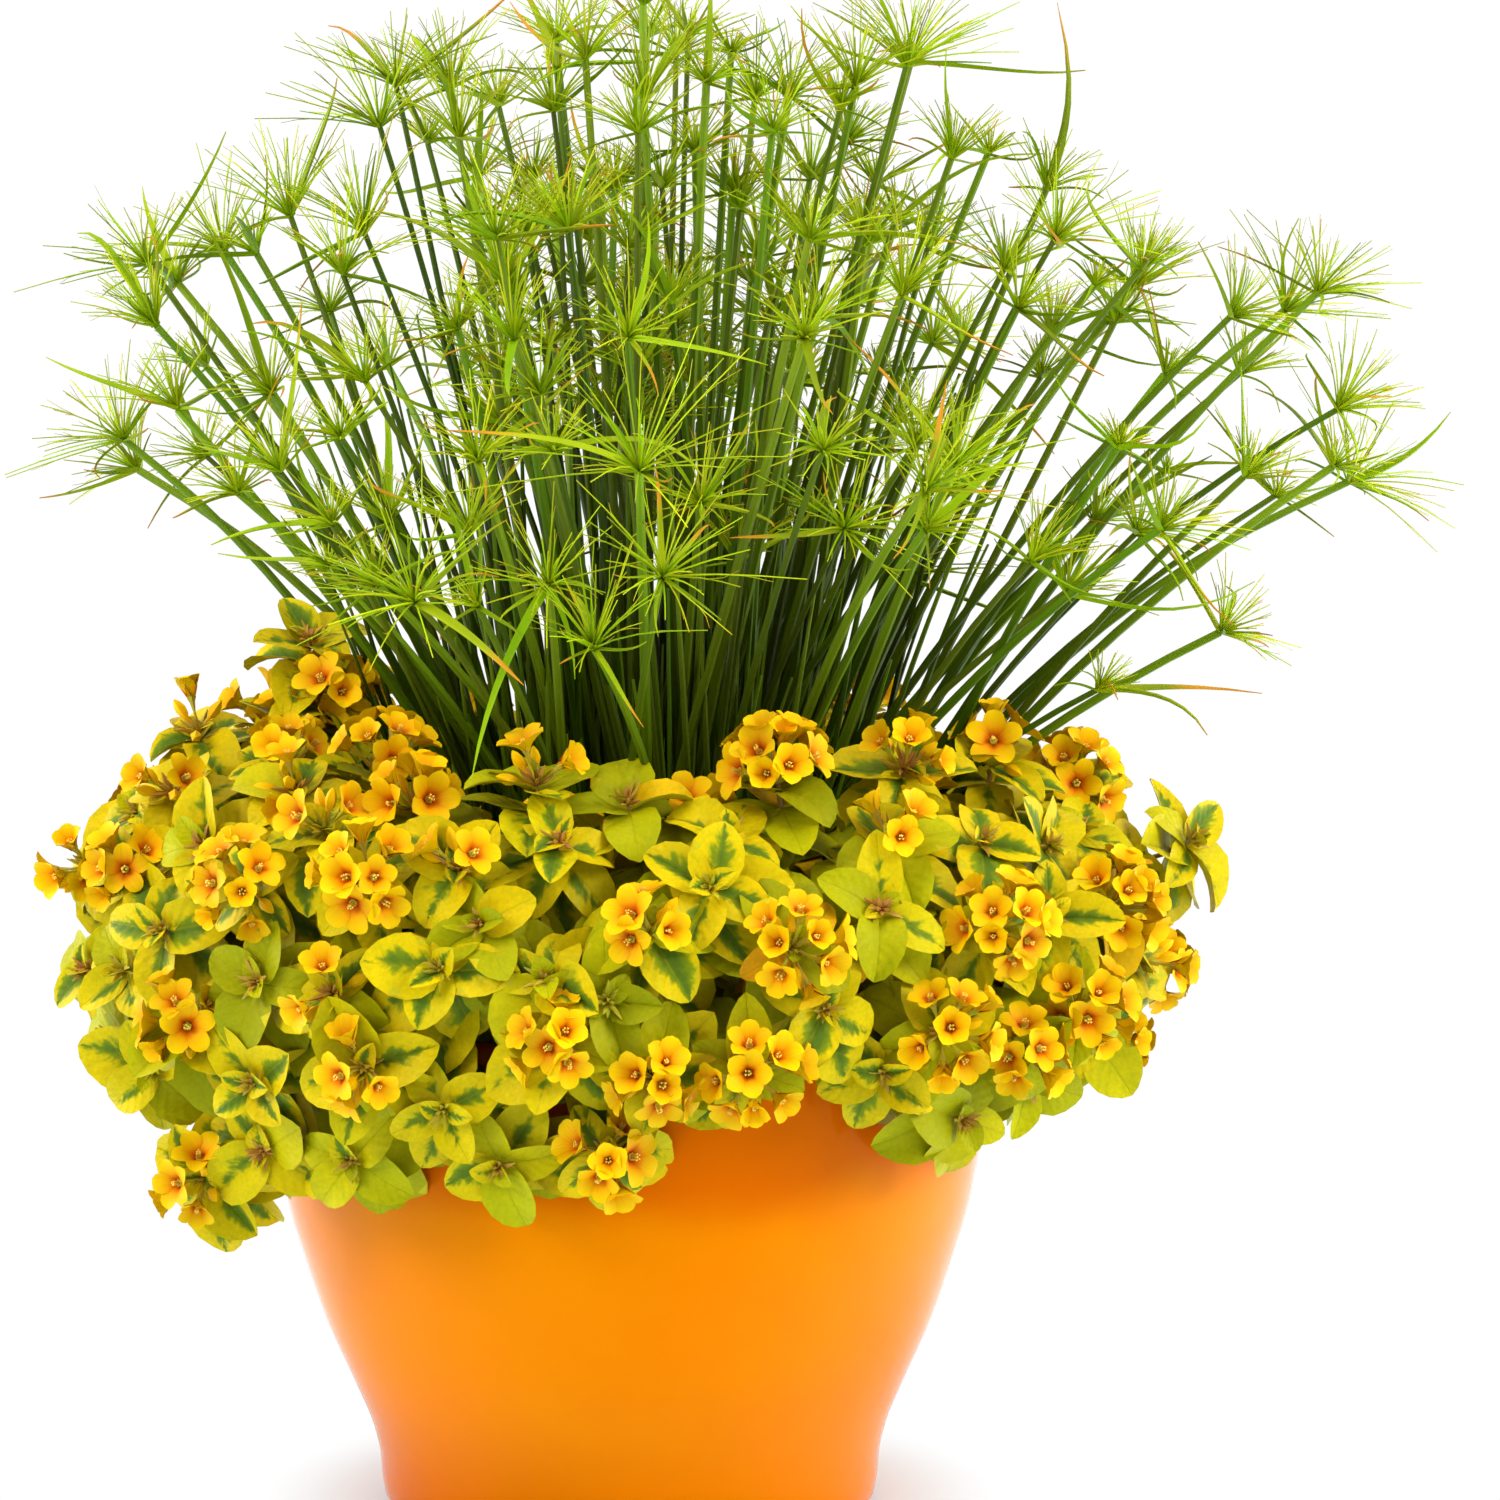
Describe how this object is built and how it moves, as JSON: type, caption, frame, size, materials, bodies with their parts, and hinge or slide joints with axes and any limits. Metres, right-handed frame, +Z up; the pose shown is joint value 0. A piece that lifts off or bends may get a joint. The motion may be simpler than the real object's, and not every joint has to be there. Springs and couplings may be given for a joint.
{
  "type": "potted papyrus plant",
  "caption": "Dwarf papyrus in a glossy round pot: a fan of slender culms with starry umbels over a trailing skirt of variegated, yellow-flowered loosestrife.",
  "frame": {"origin": "centre of the pot's flat base, on the surface that it stands on", "axes": "+Z up, along the pot's axis; -Y is the front, from which the plant is mostly seen; +X is to the right of someone who looks at the front"},
  "size_m": [0.5548, 0.5073, 0.6093],
  "materials": {
    "orange_glaze": "glossy orange glaze with a clear, wet-looking surface",
    "potting_soil": "matt, crumbly, dark brown potting soil",
    "papyrus_culm": "smooth, slightly waxy green stems, finely ridged",
    "papyrus_umbel": "satin yellow-green rays and bracts, some with dry brown tips",
    "loosestrife_leaf": "softly glossy leaves, yellow edged with a dark green middle, with golden yellow flowers"
  },
  "bodies": {
    "root": {"loosestrife_shoot_01": "loosestrife_leaf", "loosestrife_shoot_02": "loosestrife_leaf", "loosestrife_shoot_03": "loosestrife_leaf", "loosestrife_shoot_04": "loosestrife_leaf", "loosestrife_shoot_05": "loosestrife_leaf", "loosestrife_shoot_06": "loosestrife_leaf", "loosestrife_shoot_07": "loosestrife_leaf", "loosestrife_shoot_08": "loosestrife_leaf", "loosestrife_shoot_09": "loosestrife_leaf", "loosestrife_shoot_10": "loosestrife_leaf", "papyrus_culm_01": "papyrus_culm", "papyrus_culm_02": "papyrus_culm", "papyrus_culm_03": "papyrus_culm", "papyrus_culm_04": "papyrus_culm", "papyrus_culm_05": "papyrus_culm", "papyrus_culm_06": "papyrus_culm", "papyrus_culm_07": "papyrus_culm", "papyrus_culm_08": "papyrus_culm", "papyrus_culm_09": "papyrus_culm", "papyrus_culm_10": "papyrus_culm", "papyrus_culm_11": "papyrus_culm", "papyrus_culm_12": "papyrus_culm", "papyrus_culm_13": "papyrus_culm", "papyrus_culm_14": "papyrus_culm", "papyrus_culm_15": "papyrus_culm", "papyrus_culm_16": "papyrus_culm", "papyrus_culm_17": "papyrus_culm", "papyrus_culm_18": "papyrus_culm", "papyrus_sheaf_01": "papyrus_culm", "papyrus_sheaf_02": "papyrus_culm", "papyrus_sheaf_03": "papyrus_culm", "papyrus_sheaf_04": "papyrus_culm", "papyrus_sheaf_05": "papyrus_culm", "papyrus_sheaf_06": "papyrus_culm", "papyrus_sheaf_07": "papyrus_culm", "papyrus_sheaf_08": "papyrus_culm", "papyrus_sheaf_09": "papyrus_culm", "papyrus_sheaf_10": "papyrus_culm", "papyrus_umbel_01": "papyrus_umbel", "papyrus_umbel_02": "papyrus_umbel", "papyrus_umbel_03": "papyrus_umbel", "papyrus_umbel_04": "papyrus_umbel", "papyrus_umbel_05": "papyrus_umbel", "papyrus_umbel_06": "papyrus_umbel", "papyrus_umbel_07": "papyrus_umbel", "papyrus_umbel_08": "papyrus_umbel", "papyrus_umbel_09": "papyrus_umbel", "papyrus_umbel_10": "papyrus_umbel", "papyrus_umbel_11": "papyrus_umbel", "papyrus_umbel_12": "papyrus_umbel", "papyrus_umbel_13": "papyrus_umbel", "papyrus_umbel_14": "papyrus_umbel", "papyrus_umbel_15": "papyrus_umbel", "papyrus_umbel_16": "papyrus_umbel", "papyrus_umbel_17": "papyrus_umbel", "papyrus_umbel_18": "papyrus_umbel", "pot": "orange_glaze", "potting_soil": "potting_soil"}
  },
  "joints": []
}
